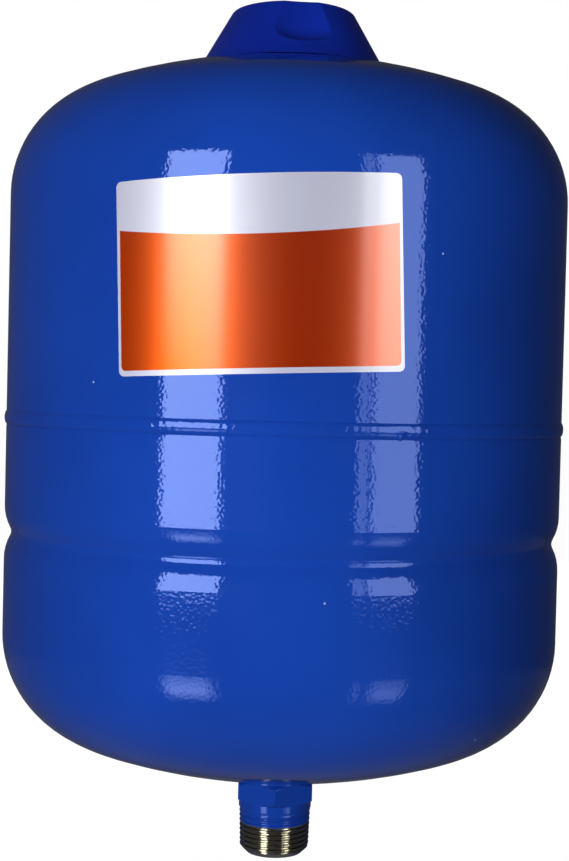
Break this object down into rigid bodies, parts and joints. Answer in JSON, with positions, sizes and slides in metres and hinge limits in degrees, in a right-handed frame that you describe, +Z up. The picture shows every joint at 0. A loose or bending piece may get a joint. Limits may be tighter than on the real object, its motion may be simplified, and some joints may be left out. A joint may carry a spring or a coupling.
{
  "type": "accumulator tank",
  "caption": "Small vertical diaphragm pressure tank: dished steel shell with a weld bead and a rolled groove, a conical cap over its air valve and a threaded water connection below.",
  "frame": {"origin": "centre of the lower end face of the threaded water connection, the tank's lowest point", "axes": "+Z up the tank's axis, from the water connection to the cap; -Y is the front, which carries the label; +X is the right seen from the front"},
  "size_m": [0.2096, 0.2096, 0.3185],
  "materials": {
    "blue_paint": "glossy epoxy enamel, light orange peel",
    "plated_steel": "nickel-plated turned steel, painted blue down to mid-thread",
    "ring_steel": "galvanised rolled strip",
    "brass": "turned, dull",
    "spring_steel": "drawn stainless wire",
    "butyl": "matt black butyl",
    "seal_rubber": "black, slightly shiny",
    "liner_plastic": "natural polypropylene",
    "gasket_plastic": "white, waxy",
    "cap_plastic": "satin moulded blue",
    "label_foil": "metallised film, white border round a blank orange field"
  },
  "bodies": {
    "tank": {"upper_shell": "blue_paint", "lower_shell": "blue_paint", "girth_weld_bead": "blue_paint", "water_liner": "liner_plastic", "liner_o_ring": "seal_rubber", "diaphragm": "butyl", "clench_ring": "ring_steel", "water_connection": "plated_steel", "connection_weld": "blue_paint", "air_valve_stem": "brass", "stem_weld": "blue_paint", "core_plug": "brass", "core_barrel": "brass", "core_gasket": "gasket_plastic", "core_spring": "spring_steel", "label": "label_foil"},
    "cap_seal": {"cap_o_ring": "seal_rubber"},
    "cap": {"protective_cap": "cap_plastic"},
    "valve_pin": {"core_pin": "brass", "core_seal": "seal_rubber", "core_cup": "brass"}
  },
  "joints": [
    {"name": "cap_rise", "type": "slide", "parent": "tank", "child": "cap_seal", "axis": [0, 0, 1], "range_m": [0, 0.00875]},
    {"name": "cap_turn", "type": "hinge", "parent": "cap_seal", "child": "cap", "pos_m": [0, 0, 0.305], "axis": [0, 0, 1], "range_deg": [0, 3960]},
    {"name": "valve_press", "type": "slide", "parent": "tank", "child": "valve_pin", "axis": [0, 0, -1], "range_m": [0, 0.001], "stiffness_N_per_m": 1200, "springref_m": -0.002, "deforming": ["core_spring"]}
  ],
  "couplings": [
    {"joint": "cap_rise", "follows": "cap_turn", "m_per_rad": 0.00012633}
  ]
}
